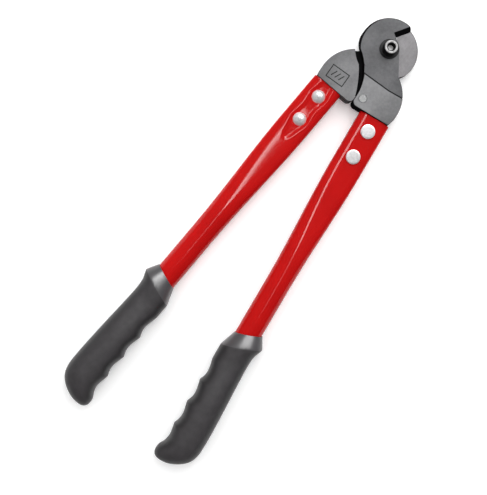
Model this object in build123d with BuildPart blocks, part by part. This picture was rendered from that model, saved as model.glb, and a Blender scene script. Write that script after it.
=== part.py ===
from build123d import *
import math
import os

os.makedirs("parts", exist_ok=True)

# Hand cable cutter, closed and lying flat. Two forged jaws of one shape cross at a pivot; each
# carries a steel tube handle with a rubber grip. The second half is the first one turned half
# over about the tool's length. +Z is up from the surface it lies on, +Y runs from the grips to
# the head, and Z = 0 under the pivot's nut is the origin. All sizes are in millimetres.

# Pivot stack, from the resting surface upwards
nut_height = 8.0
nut_flats = 13.0
insert_radius = 5.2
insert_height = 2.4
insert_recess = 0.3
washer_radius = 8.5
washer_thickness = 1.6
plate_thickness = 8.0
spring_radius = 9.0
spring_thickness = 1.0
spring_rise = 0.5
head_height = 8.0
head_radius = 6.5
head_round = 0.8
screw_radius = 4.0
screw_end_chamfer = 0.8
key_flats = 6.0
key_depth = 4.8
key_mouth = 0.5
bush_radius = 6.0
bush_recess = 0.2

# Clearances
face_gap = 0.05
blade_gap = 0.05
running_fit = 0.05
seat_fit = 0.02
heel_gap = 0.05
screw_fit = 0.1
stop_gap = 0.3

# Jaw: a round cutting plate on one side of the shear plane, and a full-depth body
disc_radius = 28.0
edge_offset = 8.6
edge_angle = 56.0
bevel_width = 3.8
throat_reach = 9.3
throat_depth = 2.6
throat_round = 0.9
back_offset = 9.1
rim_end_angle = 185.0
rim_corner = 1.4
shoulder_point = (-18.6, -16.6)
neck_point = (-5.9, -31.0)
stop_face_top = 54.0
wall_radius = 31.0
wall_end_angle = -62.0
wall_point = (5.6, -41.5)
body_centre = (5.0, -47.0)
body_radius = 35.4
body_corner = 4.5
body_edge_round = 0.7
cut_margin = 1.0
step_distance = 31.5
step_rise = 1.0
step_end_rise = 2.0
step_groove_width = 1.2
step_groove_depth = 0.5

# Badge engraved on the body: a framed panel with three slanted bars
badge_centre = (24.2, -46.8)
badge_length = 18.4
badge_height = 13.0
badge_line = 0.9
badge_depth = 0.35
badge_bars = 3
badge_bar_pitch = 4.0
badge_bar_length = 6.5
badge_bar_slant = 25.0

# Stop pin beside the meeting faces
stop_pin_place = (6.3, -50.6)
stop_pin_radius = 4.0
stop_pin_length = 7.0
stop_pin_proud = 0.25
stop_pin_chamfer = 0.6

# Handle tube: pressed flat over the tang, round under the grip
handle_start = (26.2, -58.0)
handle_lean = 4.9
tube_radius = 11.5
tube_wall = 2.0
tube_oval = 0.05
flat_half_width = 15.0
flat_half_height = 6.5
flat_length = 46.0
round_length = 169.0
tube_length = 345.0
transition_steps = 6
channel_depth = 1.4
channel_width = 14.0
channel_end = 62.0
channel_draft = 35.0

# Tang of the jaw inside the tube, and its two rivets
tang_length = 56.0
tang_root = 6.0
tang_round = 1.5
tang_gap = 0.3
rivet_places = {"upper": 14.0, "lower": 40.5}
rivet_radius = 4.0
flat_head_radius = 6.6
flat_head_height = 2.2
flat_head_round = 0.5
dome_head_radius = 6.2
dome_head_height = 3.8

# Grip cross-sections. Each side's point is (rubber over the tube, distance past the tube's end),
# and the third value is the share of the room between tube and surface that the rubber fills
grip_sections = [
    ((1.1, -122.2), (0.9, -113.4), 0.2),
    ((6.7, -111.4), (5.5, -98.0), 0.95),
    ((3.5, -103.0), (5.7, -92.0), 0.82),
    ((2.7, -95.0), (5.5, -85.5), 0.69),
    ((3.3, -75.0), (3.1, -73.5), 0.76),
    ((4.0, -60.7), (5.9, -60.7), 0.89),
    ((4.5, -49.5), (3.6, -49.5), 0.94),
    ((5.0, -37.7), (5.8, -37.7), 0.985),
    ((5.3, -26.0), (3.6, -26.0), 0.985),
    ((5.6, -14.2), (5.8, -14.2), 0.985),
    ((5.4, -4.0), (4.1, -4.0), 0.92),
    ((3.7, 5.0), (5.9, 5.0), 0.76),
    ((-1.1, 12.0), (9.2, 12.0), 0.37),
    ((-7.9, 16.8), (8.3, 16.8), -0.21),
    ((-15.5, 20.2), (5.5, 20.2), -0.96),
]
grip_bore_extra = 3.0

# Plug in the tube's lower end
plug_head_thickness = 1.6
plug_spigot_length = 12.0
plug_wall = 2.0

# Heights that follow
washer_top = nut_height + washer_thickness
shear_height = washer_top + face_gap + plate_thickness + blade_gap / 2
plate_bottom = shear_height + blade_gap / 2
plate_top = plate_bottom + plate_thickness
body_bottom = shear_height - blade_gap / 2 - plate_thickness
round_start = tube_length - round_length
tang_half_width = flat_half_width - flat_half_height
head_bottom = plate_top + spring_thickness + spring_rise
head_top = head_bottom + head_height

# The other half of the tool is this frame turned about the tool's length
turned_over = Plane(origin=(0, 0, 2 * shear_height), x_dir=(-1, 0, 0), z_dir=(0, 0, -1))
halves = {"right": Plane.XY, "left": turned_over}

lean_cos = math.cos(math.radians(handle_lean))
lean_sin = math.sin(math.radians(handle_lean))
across_dir = (lean_cos, lean_sin, 0)
along_dir = (lean_sin, -lean_cos, 0)
handle_section = Plane(origin=(*handle_start, shear_height), x_dir=across_dir, z_dir=along_dir)


def handle_plan(height):
    """Plan view plane at a height above the shear plane: x across the handle, y to the head."""
    return Plane(origin=(*handle_start, shear_height + height), x_dir=across_dir, z_dir=(0, 0, 1))


def handle_point(across, along):
    """Point in the shear plane, measured across and along the handle from its start."""
    x = handle_start[0] + across * lean_cos + along * lean_sin
    y = handle_start[1] + across * lean_sin - along * lean_cos
    return Vector(x, y, shear_height)


def polar(radius, angle):
    return (radius * math.cos(math.radians(angle)), radius * math.sin(math.radians(angle)))


def from_edge(along, away):
    """Point at a distance along the cutting edge's direction and at a distance off the pivot."""
    edge_cos = math.cos(math.radians(edge_angle))
    edge_sin = math.sin(math.radians(edge_angle))
    return (along * edge_cos - away * edge_sin, along * edge_sin + away * edge_cos)


def circle_hit(centre, radius, start, direction):
    """Where a ray from start first meets a circle."""
    from_centre = (start[0] - centre[0], start[1] - centre[1])
    half_b = from_centre[0] * direction[0] + from_centre[1] * direction[1]
    rest = from_centre[0] ** 2 + from_centre[1] ** 2 - radius**2
    # From inside the circle the ray leaves it; from outside it takes the nearer crossing
    reach = -half_b - math.copysign(math.sqrt(half_b**2 - rest), rest)
    return (start[0] + reach * direction[0], start[1] + reach * direction[1])


def export_piece(piece, name):
    piece.part.label = name
    export_step(piece.part, f"parts/{name}.step")


# Jaw outline corners
edge_rim_along = math.sqrt(disc_radius**2 - edge_offset**2)
edge_rim_point = from_edge(edge_rim_along, edge_offset)
throat_point = from_edge(throat_reach, edge_offset)
throat_start = from_edge(throat_reach, edge_offset - throat_depth)
back_foot = polar(back_offset, 90 - edge_angle)
back_direction = (math.cos(math.radians(edge_angle)), -math.sin(math.radians(edge_angle)))
back_corner = circle_hit(body_centre, body_radius, back_foot, back_direction)
rim_start_angle = math.degrees(math.atan2(edge_rim_point[1], edge_rim_point[0]))
rim_end_point = polar(disc_radius, rim_end_angle)
shoulder_tangent = polar(1, rim_end_angle + 90)
inner_foot_x = stop_gap / 2
heel_slope = lean_sin / lean_cos
heel_inner = (inner_foot_x, handle_start[1] + (inner_foot_x - handle_start[0]) * heel_slope)
heel_direction = (lean_cos, lean_sin)
heel_outer = circle_hit(body_centre, body_radius, heel_inner, heel_direction)
heel_angle = math.degrees(math.atan2(heel_outer[1] - body_centre[1], heel_outer[0] - body_centre[0]))
corner_angle = math.degrees(
    math.atan2(back_corner[1] - body_centre[1], back_corner[0] - body_centre[0])
)
wall_end = polar(wall_radius, wall_end_angle)
stop_face_point = (inner_foot_x, -stop_face_top)


def body_arc_point(angle):
    return (
        body_centre[0] + body_radius * math.cos(math.radians(angle)),
        body_centre[1] + body_radius * math.sin(math.radians(angle)),
    )


# Outline of the cutting plate together with the body below it
with BuildSketch() as plate_outline:
    with BuildLine():
        Line(throat_point, edge_rim_point)
        CenterArc((0, 0), disc_radius, rim_start_angle, rim_end_angle - rim_start_angle)
        TangentArc(rim_end_point, shoulder_point, tangent=shoulder_tangent)
        ThreePointArc(shoulder_point, neck_point, stop_face_point)
        Line(stop_face_point, heel_inner)
        Line(heel_inner, heel_outer)
        ThreePointArc(heel_outer, body_arc_point((heel_angle + corner_angle) / 2), back_corner)
        Line(back_corner, back_foot)
        TangentArc(back_foot, throat_start, tangent=(-back_direction[0], -back_direction[1]))
        Line(throat_start, throat_point)
    make_face()
    fillet(plate_outline.vertices().sort_by_distance(edge_rim_point)[0], radius=rim_corner)
    fillet(plate_outline.vertices().sort_by_distance(heel_inner)[0], radius=body_corner)
    fillet(plate_outline.vertices().sort_by_distance(throat_point)[0], radius=throat_round)

# Outline of the body on the other jaw's side of the shear plane, clear of the other plate
centre_distance = math.hypot(*body_centre)
centre_angle = math.degrees(math.atan2(body_centre[1], body_centre[0]))
wall_share = (wall_radius**2 + centre_distance**2 - body_radius**2) / (2 * wall_radius * centre_distance)
wall_start_angle = centre_angle + math.degrees(math.acos(wall_share))
wall_start = polar(wall_radius, wall_start_angle)
wall_start_on_body = math.degrees(
    math.atan2(wall_start[1] - body_centre[1], wall_start[0] - body_centre[0])
)
with BuildSketch() as body_outline:
    with BuildLine():
        CenterArc((0, 0), wall_radius, wall_start_angle, wall_end_angle - wall_start_angle)
        ThreePointArc(wall_end, wall_point, stop_face_point)
        Line(stop_face_point, heel_inner)
        Line(heel_inner, heel_outer)
        ThreePointArc(
            heel_outer, body_arc_point((heel_angle + wall_start_on_body) / 2), wall_start
        )
    make_face()
    fillet(body_outline.vertices().sort_by_distance(heel_inner)[0], radius=body_corner)

# Raised face of the body, below a straight step across the plate
step_left = -disc_radius
step_right = body_centre[0] + body_radius
with BuildSketch() as raised_outline:
    add(plate_outline.sketch)
    with BuildLine():
        Polyline(
            (step_left, -step_distance),
            (back_corner[0], -step_distance),
            (step_right, -step_distance + step_end_rise),
            (step_right, 2 * handle_start[1]),
            (step_left, 2 * handle_start[1]),
            close=True,
        )
    make_face(mode=Mode.INTERSECT)

tang_top = flat_half_height - tube_wall - tang_gap
tang_bottom = -(flat_half_height - tube_wall - channel_depth - tang_gap)

with BuildPart() as jaw_blank:
    with BuildSketch(Plane.XY.offset(plate_bottom)):
        add(plate_outline.sketch)
    extrude(amount=plate_thickness)
    with BuildSketch(Plane.XY.offset(plate_top)):
        add(raised_outline.sketch)
    extrude(amount=step_rise)
    fillet(jaw_blank.faces().sort_by(Axis.Z)[-1].outer_wire().edges(), radius=body_edge_round)
    with BuildSketch(Plane.XY.offset(body_bottom)):
        add(body_outline.sketch)
    extrude(amount=plate_bottom - body_bottom)
    # Relief groove along the foot of the step
    with BuildSketch(Plane.XY.offset(plate_top)):
        with BuildLine():
            Polyline(
                (step_left, -step_distance),
                (back_corner[0], -step_distance),
                (step_right, -step_distance + step_end_rise),
                (step_right, -step_distance + step_end_rise + step_groove_width),
                (back_corner[0], -step_distance + step_groove_width),
                (step_left, -step_distance + step_groove_width),
                close=True,
            )
        make_face()
    extrude(amount=-step_groove_depth, mode=Mode.SUBTRACT)
    # Steep bevel behind the cutting edge
    edge_section = Plane(
        origin=(*from_edge(throat_reach, edge_offset), plate_bottom),
        x_dir=(*from_edge(0, 1), 0),
        z_dir=(*from_edge(1, 0), 0),
    )
    with BuildSketch(edge_section):
        with BuildLine():
            Polyline(
                (0, 0),
                (bevel_width, plate_thickness),
                (-cut_margin, plate_thickness),
                (-cut_margin, 0),
                close=True,
            )
        make_face()
    extrude(amount=disc_radius, mode=Mode.SUBTRACT)
    # Badge on the side that faces the resting surface
    with BuildSketch(Plane.XY.offset(body_bottom)):
        with Locations(badge_centre):
            Rectangle(badge_length, badge_height)
            Rectangle(badge_length - 2 * badge_line, badge_height - 2 * badge_line, mode=Mode.SUBTRACT)
            with GridLocations(badge_bar_pitch, 0, badge_bars, 1):
                Rectangle(badge_line, badge_bar_length, rotation=badge_bar_slant)
    extrude(amount=badge_depth, mode=Mode.SUBTRACT)
    # Bore for the stop pin
    with BuildSketch(Plane.XY.offset(plate_top + step_rise)):
        with Locations(stop_pin_place):
            Circle(stop_pin_radius + seat_fit)
    extrude(amount=-stop_pin_length, mode=Mode.SUBTRACT)

    # Tang that enters the tube handle
    with BuildSketch(handle_plan(tang_bottom)):
        with Locations((0, (tang_root - tang_length) / 2)):
            RectangleRounded(2 * tang_half_width, tang_length + tang_root, tang_round)
    extrude(amount=tang_top - tang_bottom)
    with BuildSketch(handle_plan(tang_bottom)):
        with Locations([(0, -along) for along in rivet_places.values()]):
            Circle(rivet_radius + seat_fit)
    extrude(amount=tang_top - tang_bottom, mode=Mode.SUBTRACT)

# The front jaw holds the bush still, and the rear jaw turns on it
bush_bores = {"front_jaw": (Plane.XY, seat_fit), "rear_jaw": (turned_over, running_fit)}
for name, (placement, bore_fit) in bush_bores.items():
    with BuildPart(placement) as jaw:
        add(jaw_blank.part)
        with BuildSketch(Plane.XY):
            Circle(bush_radius + bore_fit)
        extrude(amount=head_top, mode=Mode.SUBTRACT)
    export_piece(jaw, name)

with BuildPart() as pivot_bush:
    with BuildSketch(Plane.XY.offset(washer_top + face_gap + bush_recess)):
        Circle(bush_radius)
        Circle(screw_radius + screw_fit, mode=Mode.SUBTRACT)
    extrude(amount=plate_top - washer_top - face_gap - 2 * bush_recess)
export_piece(pivot_bush, "pivot_bush")

# Socket head screw through both jaws
with BuildPart() as pivot_screw:
    with BuildSketch():
        Circle(screw_radius)
    extrude(amount=head_bottom)
    chamfer(pivot_screw.edges().group_by(Axis.Z)[0], length=screw_end_chamfer)
    with BuildSketch(Plane.XY.offset(head_bottom)):
        Circle(head_radius)
    extrude(amount=head_height)
    fillet(pivot_screw.edges().group_by(Axis.Z)[-1], radius=head_round)
    with BuildSketch(Plane.XY.offset(head_top)):
        RegularPolygon(key_flats / 2, 6, major_radius=False)
    extrude(amount=-key_depth, mode=Mode.SUBTRACT)
    chamfer(pivot_screw.edges().group_by(Axis.Z)[-1].filter_by(GeomType.LINE), length=key_mouth)
export_piece(pivot_screw, "pivot_screw")

# Dished spring washer under the screw's head
with BuildPart() as disc_spring:
    with BuildSketch(Plane.XZ):
        with BuildLine():
            Polyline(
                (screw_radius + screw_fit, plate_top + spring_rise),
                (spring_radius, plate_top),
                (spring_radius, plate_top + spring_thickness),
                (screw_radius + screw_fit, head_bottom),
                close=True,
            )
        make_face()
    revolve(axis=Axis.Z)
export_piece(disc_spring, "disc_spring")

with BuildPart() as rear_washer:
    with BuildSketch(Plane.XY.offset(nut_height)):
        Circle(washer_radius)
        Circle(screw_radius + screw_fit, mode=Mode.SUBTRACT)
    extrude(amount=washer_thickness)
export_piece(rear_washer, "rear_washer")

# Lock nut with a nylon ring at its outer end
nut_corner_radius = nut_flats / math.sqrt(3)
with BuildPart() as lock_nut:
    with BuildSketch():
        RegularPolygon(nut_flats / 2, 6, major_radius=False)
    extrude(amount=nut_height)
    # Chamfered corners, as the common volume of the hexagon and two cones
    with BuildSketch(Plane.XZ):
        with BuildLine():
            Polyline(
                (0, 0),
                (nut_flats / 2, 0),
                (nut_corner_radius, (nut_corner_radius - nut_flats / 2) / 2),
                (nut_corner_radius, nut_height - (nut_corner_radius - nut_flats / 2) / 2),
                (nut_flats / 2, nut_height),
                (0, nut_height),
                close=True,
            )
        make_face()
    revolve(axis=Axis.Z, mode=Mode.INTERSECT)
    with BuildSketch():
        Circle(screw_radius + seat_fit)
    extrude(amount=nut_height, mode=Mode.SUBTRACT)
    with BuildSketch():
        Circle(insert_radius + seat_fit)
    extrude(amount=insert_recess + insert_height, mode=Mode.SUBTRACT)
export_piece(lock_nut, "lock_nut")

with BuildPart() as nut_insert:
    with BuildSketch(Plane.XY.offset(insert_recess)):
        Circle(insert_radius)
        Circle(screw_radius + seat_fit, mode=Mode.SUBTRACT)
    extrude(amount=insert_height)
export_piece(nut_insert, "nut_insert")


def tube_solid(inset, start, end):
    """Solid of the handle tube's outside, or of its inside when inset by the wall."""
    with BuildPart() as solid:
        with BuildSketch(handle_section.offset(start)):
            SlotOverall(2 * (flat_half_width - inset), 2 * (flat_half_height - inset))
        extrude(amount=flat_length - start)
        for step in range(transition_steps + 1):
            share = step / transition_steps
            blend = (1 - math.cos(math.pi * share)) / 2
            along = flat_length + share * (round_start - flat_length)
            half_width = flat_half_width + blend * (tube_radius + tube_oval - flat_half_width)
            half_height = flat_half_height + blend * (tube_radius - flat_half_height)
            with BuildSketch(handle_section.offset(along)):
                SlotOverall(2 * (half_width - inset), 2 * (half_height - inset))
        loft()
        with BuildSketch(handle_section.offset(round_start)):
            SlotOverall(2 * (tube_radius + tube_oval - inset), 2 * (tube_radius - inset))
        extrude(amount=end - round_start)
    return solid.part


def channel_solid(margin, depth):
    """Channel pressed round the rivets on the side where their domed heads are."""
    start = min(rivet_places.values()) - channel_width
    with BuildPart() as solid:
        with BuildSketch(handle_plan(depth - flat_half_height)):
            with Locations((0, -(start + channel_end) / 2)):
                SlotOverall(channel_end - start + 2 * margin, channel_width + 2 * margin, rotation=90)
        extrude(amount=-flat_half_height, taper=-channel_draft)
    return solid.part


rivet_spots = [(0, -along) for along in rivet_places.values()]

# Tube handle, with the wall pressed in round the domed rivet heads
with BuildPart() as tube_inside:
    add(tube_solid(tube_wall, -tube_wall, tube_length + tube_wall))
    add(channel_solid(tube_wall, channel_depth + tube_wall), mode=Mode.SUBTRACT)
with BuildPart() as tube_shape:
    add(tube_solid(0, heel_gap, tube_length))
    add(channel_solid(0, channel_depth), mode=Mode.SUBTRACT)
    add(tube_inside.part, mode=Mode.SUBTRACT)
    with BuildSketch(handle_plan(0)):
        with Locations(rivet_spots):
            Circle(rivet_radius + seat_fit)
    extrude(amount=flat_half_height, both=True, mode=Mode.SUBTRACT)

# Rivet: flat head on the smooth side, domed head in the channel
rivet_top = flat_half_height + flat_head_height
dome_seat = channel_depth - flat_half_height
dome_radius = (dome_head_radius**2 + dome_head_height**2) / (2 * dome_head_height)
rivet_shapes = {}
for place, along in rivet_places.items():
    with BuildPart() as rivet:
        with BuildSketch(handle_plan(dome_seat)):
            with Locations((0, -along)):
                Circle(rivet_radius)
        extrude(amount=flat_half_height - dome_seat)
        with BuildSketch(handle_plan(flat_half_height)):
            with Locations((0, -along)):
                Circle(flat_head_radius)
        extrude(amount=flat_head_height)
        fillet(rivet.edges().group_by(Axis.Z)[-1], radius=flat_head_round)
        dome_plane = Plane(
            origin=handle_point(0, along) + Vector(0, 0, dome_seat), x_dir=(1, 0, 0), z_dir=(0, 1, 0)
        )
        with BuildSketch(dome_plane):
            with BuildLine():
                Line((0, 0), (dome_head_radius, 0))
                RadiusArc((dome_head_radius, 0), (0, dome_head_height), -dome_radius)
                Line((0, dome_head_height), (0, 0))
            make_face()
        revolve(axis=Axis(dome_plane.origin, (0, 0, 1)))
    rivet_shapes[place] = rivet

# Pin pressed into the body beside the meeting faces
with BuildPart() as stop_pin_shape:
    with BuildSketch(Plane.XY.offset(plate_top + step_rise - stop_pin_length)):
        with Locations(stop_pin_place):
            Circle(stop_pin_radius)
    extrude(amount=stop_pin_length + stop_pin_proud)
    chamfer(stop_pin_shape.edges().group_by(Axis.Z)[-1], length=stop_pin_chamfer)

# Plug in the lower end of the tube
plug_spigot_radius = tube_radius - tube_wall - seat_fit
with BuildPart() as plug_shape:
    with BuildSketch(handle_section.offset(tube_length)):
        Circle(tube_radius)
    extrude(amount=plug_head_thickness)
    with BuildSketch(handle_section.offset(tube_length)):
        Circle(plug_spigot_radius)
        Circle(plug_spigot_radius - plug_wall, mode=Mode.SUBTRACT)
    extrude(amount=-plug_spigot_length)


def grip_half_height(share):
    """Half height of the grip, from the tube at share 0 to the resting surface at share 1."""
    return tube_radius + share * (shear_height - tube_radius)


# Rubber grip with a collar, finger grooves on the inner side and a hooked end
with BuildPart() as grip_shape:
    for outer, inner, share in grip_sections:
        outer_point = handle_point(tube_radius + outer[0], tube_length + outer[1])
        inner_point = handle_point(-tube_radius - inner[0], tube_length + inner[1])
        middle = (outer_point + inner_point) / 2
        run = outer_point - inner_point
        with BuildSketch(Plane(origin=middle, x_dir=run, z_dir=run.cross(Vector(0, 0, 1)))):
            Ellipse(run.length / 2, grip_half_height(share))
    loft()
    bore_start = tube_length + grip_sections[0][0][1] - grip_bore_extra
    with BuildSketch(handle_section.offset(bore_start)):
        SlotOverall(2 * (tube_radius + tube_oval + running_fit), 2 * (tube_radius + running_fit))
    extrude(amount=tube_length + plug_head_thickness + face_gap - bore_start, mode=Mode.SUBTRACT)

# Each half of the tool takes one of every handle piece
half_pieces = {
    "tube": tube_shape,
    "upper_rivet": rivet_shapes["upper"],
    "lower_rivet": rivet_shapes["lower"],
    "stop_pin": stop_pin_shape,
    "end_plug": plug_shape,
    "grip": grip_shape,
}
for side, placement in halves.items():
    for piece_name, shape in half_pieces.items():
        with BuildPart(placement) as piece:
            add(shape.part)
        export_piece(piece, f"{side}_{piece_name}")
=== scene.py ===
"""Hand cable cutter: the looks of its jaws, pivot, tube handles and rubber grips."""

import math

import bmesh
import bpy
from mathutils import Euler, Matrix, Vector


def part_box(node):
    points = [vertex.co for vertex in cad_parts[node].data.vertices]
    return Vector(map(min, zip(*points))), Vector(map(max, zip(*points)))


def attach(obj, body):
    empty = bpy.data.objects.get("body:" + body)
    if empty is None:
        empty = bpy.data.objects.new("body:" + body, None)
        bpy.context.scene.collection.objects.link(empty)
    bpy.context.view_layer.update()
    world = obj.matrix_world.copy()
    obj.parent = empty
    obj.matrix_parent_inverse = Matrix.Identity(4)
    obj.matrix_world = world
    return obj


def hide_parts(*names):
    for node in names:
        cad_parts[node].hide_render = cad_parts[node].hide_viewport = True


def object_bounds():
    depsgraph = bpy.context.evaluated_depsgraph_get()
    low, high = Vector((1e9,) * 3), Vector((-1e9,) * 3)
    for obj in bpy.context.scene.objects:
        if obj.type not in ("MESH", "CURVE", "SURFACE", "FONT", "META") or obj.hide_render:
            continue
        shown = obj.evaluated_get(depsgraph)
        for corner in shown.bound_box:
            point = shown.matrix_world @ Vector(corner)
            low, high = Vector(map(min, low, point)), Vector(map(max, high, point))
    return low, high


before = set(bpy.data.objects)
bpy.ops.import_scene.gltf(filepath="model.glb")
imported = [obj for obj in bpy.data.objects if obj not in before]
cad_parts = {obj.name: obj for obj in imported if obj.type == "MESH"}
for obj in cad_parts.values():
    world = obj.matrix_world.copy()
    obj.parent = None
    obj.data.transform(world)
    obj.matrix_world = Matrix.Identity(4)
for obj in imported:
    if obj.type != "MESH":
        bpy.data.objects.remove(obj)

bl_info = {
    "name": "Cable Cutter",
    "version": (1, 0, 0),
    "blender": (4, 5, 0),
    "location": "3D View > Sidebar > Cutter",
    "description": "Builds the visible pieces and finishes of a two-handed cable cutter",
    "category": "Add Mesh",
}

CAD_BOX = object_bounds()
MM = 0.001


def middle(node):
    """Centre of a CAD node's box."""
    low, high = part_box(node)
    return (low + high) / 2


# Places that come from the frame: the shear plane between the jaws, and the right handle's line
# through its two rivets
SHEAR = middle("right_tube").z
UPPER_RIVET = middle("right_upper_rivet").xy
LOWER_RIVET = middle("right_lower_rivet").xy
ALONG = (LOWER_RIVET - UPPER_RIVET).normalized()
ACROSS = Vector((-ALONG.y, ALONG.x))
RIVET_PITCH = (LOWER_RIVET - UPPER_RIVET).length
PLATE_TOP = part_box("disc_spring")[0].z
HEAD_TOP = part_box("pivot_screw")[1].z
HEAD_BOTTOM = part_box("disc_spring")[1].z
DISC_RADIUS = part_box("front_jaw")[1].y
TUBE_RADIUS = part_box("right_tube")[1].z - SHEAR

# The left half is the right one turned half over about the tool's length
HALF_TURN = (
    Matrix.Translation((0, 0, SHEAR))
    @ Matrix.Rotation(math.pi, 4, "Y")
    @ Matrix.Translation((0, 0, -SHEAR))
)
HALVES = {"right": Matrix.Identity(4), "left": HALF_TURN}

# Directions in plan from the pivot's axis, on the jaw whose body lies towards +X: to the middle of
# its body, and to the side of the disc that lies furthest from the body
TO_BODY = (0.6, -0.8)
TO_BACK = (-0.816, -0.578)
TO_FLANK = (1, 0)

# Sockets of the Mix node when it mixes colours
MIX_FACTOR, MIX_FIRST, MIX_SECOND, MIX_RESULT = 0, 6, 7, 2


# ---------------------------------------------------------------- settings


def length(name, description, default_mm):
    """A length property, given in millimetres and held in metres."""
    return bpy.props.FloatProperty(
        name=name,
        description=description,
        default=default_mm * MM,
        precision=5,
        subtype="DISTANCE",
        unit="LENGTH",
    )


def colour(name, description, default):
    """A colour property in linear light."""
    return bpy.props.FloatVectorProperty(
        name=name, description=description, default=default, size=3, min=0, max=1, subtype="COLOR"
    )


def share(name, description, default):
    """A plain number from 0 to 1."""
    return bpy.props.FloatProperty(
        name=name, description=description, default=default, min=0, max=1, subtype="FACTOR"
    )


class CutterHandleSizes(bpy.types.PropertyGroup):
    """Sizes of one tube handle and its rivets."""

    rivet_from_start: length("First Rivet", "From the tube's start to the upper rivet", 14)
    start_gap: length("Start Gap", "Between the jaw's heel and the tube", 0.05)
    tube_end: length("Tube Length", "Length of the tube", 345)
    wall: length("Wall", "Thickness of the tube's wall", 2)
    flat_half_width: length("Flat Half Width", "Half the width of the flattened end", 15)
    flat_half_height: length("Flat Half Height", "Half the height of the flattened end", 6.5)
    flat_end: length("Flat Length", "Where the tube begins to turn round", 46)
    round_start: length("Round Start", "Where the tube is fully round", 176)
    lip_round: length("Lip Round", "Round of the tube's end edges", 0.5)
    channel_depth: length("Channel Depth", "Depth of the channel pressed round the rivets", 1.1)
    channel_half: length("Channel Half Width", "Half width of the channel at a rivet", 7.2)
    channel_pinch: length("Channel Pinch", "How much the channel narrows between rivets", 2.3)
    channel_slope: length("Channel Slope", "Width of the channel's sloping side", 4.2)
    channel_taper: length("Channel Taper", "Where the channel begins to close", 43)
    channel_end: length("Channel End", "Where the channel ends", 63)
    flat_head_radius: length("Flat Head Radius", "Radius of a flat rivet head", 6.6)
    flat_head_height: length("Flat Head Height", "Height of a flat rivet head", 2.2)
    dome_radius: length("Dome Radius", "Radius of a domed rivet head", 6.2)
    dome_height: length("Dome Height", "Height of a domed rivet head", 3.8)


class CutterGripSizes(bpy.types.PropertyGroup):
    """Sizes of a rubber grip."""

    bore_gap: length("Bore Gap", "Between the tube and the rubber", 0.1)
    bore_end: length("Bore End", "Where the bore for the tube ends", 346.7)
    groove_start: length("First Ridge", "Where the first finger groove begins", 261.6)
    groove_pitch: length("Groove Pitch", "From one finger ridge to the next", 22.9)
    groove_depth: length("Groove Depth", "Depth of a finger groove", 2.5)
    lip_round: length("Lip Round", "Round of the collar's lip", 0.35)


class CutterScrewSizes(bpy.types.PropertyGroup):
    """Sizes of the pivot's socket head screw."""

    head_radius: length("Head Radius", "Radius over the knurl", 6.5)
    knurl_depth: length("Knurl Depth", "Height of the knurl's ribs", 0.22)
    knurl_margin: length("Knurl Margin", "Plain band below and above the knurl", 1.1)
    shank_radius: length("Shank Radius", "Radius of the screw's shank", 4)
    head_round: length("Head Round", "Round of the head's top edge", 0.8)
    key_flats: length("Key Size", "Across the flats of the hexagon socket", 6)
    key_depth: length("Key Depth", "Depth of the hexagon socket", 4.8)
    key_mouth: length("Key Mouth", "Chamfer at the socket's mouth", 0.5)
    end_chamfer: length("End Chamfer", "Chamfer of the shank's end", 0.8)


class CutterFinishes(bpy.types.PropertyGroup):
    """Colours and gloss of the finishes."""

    plate: colour("Plate", "Forged steel of the jaws' flat faces", (0.108, 0.108, 0.112))
    body: colour("Body", "Forged steel of the jaws' raised bodies", (0.180, 0.180, 0.184))
    ground: colour("Ground Face", "Ground steel of the mating faces", (0.196, 0.191, 0.196))
    # Also used as painted shade in the relief groove, in the corner under the body's wall and round
    # the disc's rim
    oxide: colour("Black Oxide", "Blackened walls and bevels", (0.0058, 0.0057, 0.0062))
    enamel: colour("Red Enamel", "Powder coat of the tubes", (0.45, 0.0055, 0.0052))
    enamel_shade: colour("Enamel Shade", "Thicker, darker powder coat", (0.35, 0.0035, 0.0035))
    rubber: colour("Rubber", "Grip rubber", (0.008, 0.0070, 0.0078))
    # Lighter rubber for the painted sheen on the faces turned up and down, and for the grain's
    # specks
    rubber_grain_and_sheen: colour("Rubber Grain And Sheen", "Lighter rubber for the grain and the painted sheen", (0.052, 0.047, 0.051))
    # The collar's lighter colour is a painted sheen; its smoother surface is real
    collar: colour("Collar", "Smooth rubber of the grips' collars", (0.070, 0.068, 0.072))
    rivet: colour("Rivet Steel", "Plated steel of the rivets", (0.82, 0.81, 0.82))
    pin: colour("Pin Steel", "Plain steel of the stop pins", (0.30, 0.305, 0.305))
    # Also used for the painted highlight on the bodies' rounded edges and the painted pool of light
    # on the socket's floor
    worn: colour("Worn Steel", "Bright steel where black finish is worn off", (0.20, 0.197, 0.197))
    zinc: colour("Zinc", "Zinc plating of the nut and washer", (0.62, 0.64, 0.67))
    nylon: colour("Nylon", "Nylon ring of the lock nut", (0.62, 0.66, 0.72))
    enamel_roughness: share("Enamel Roughness", "Roughness of the powder coat", 0.32)
    rubber_roughness: share("Rubber Roughness", "Roughness of the rubber", 0.46)


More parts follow.
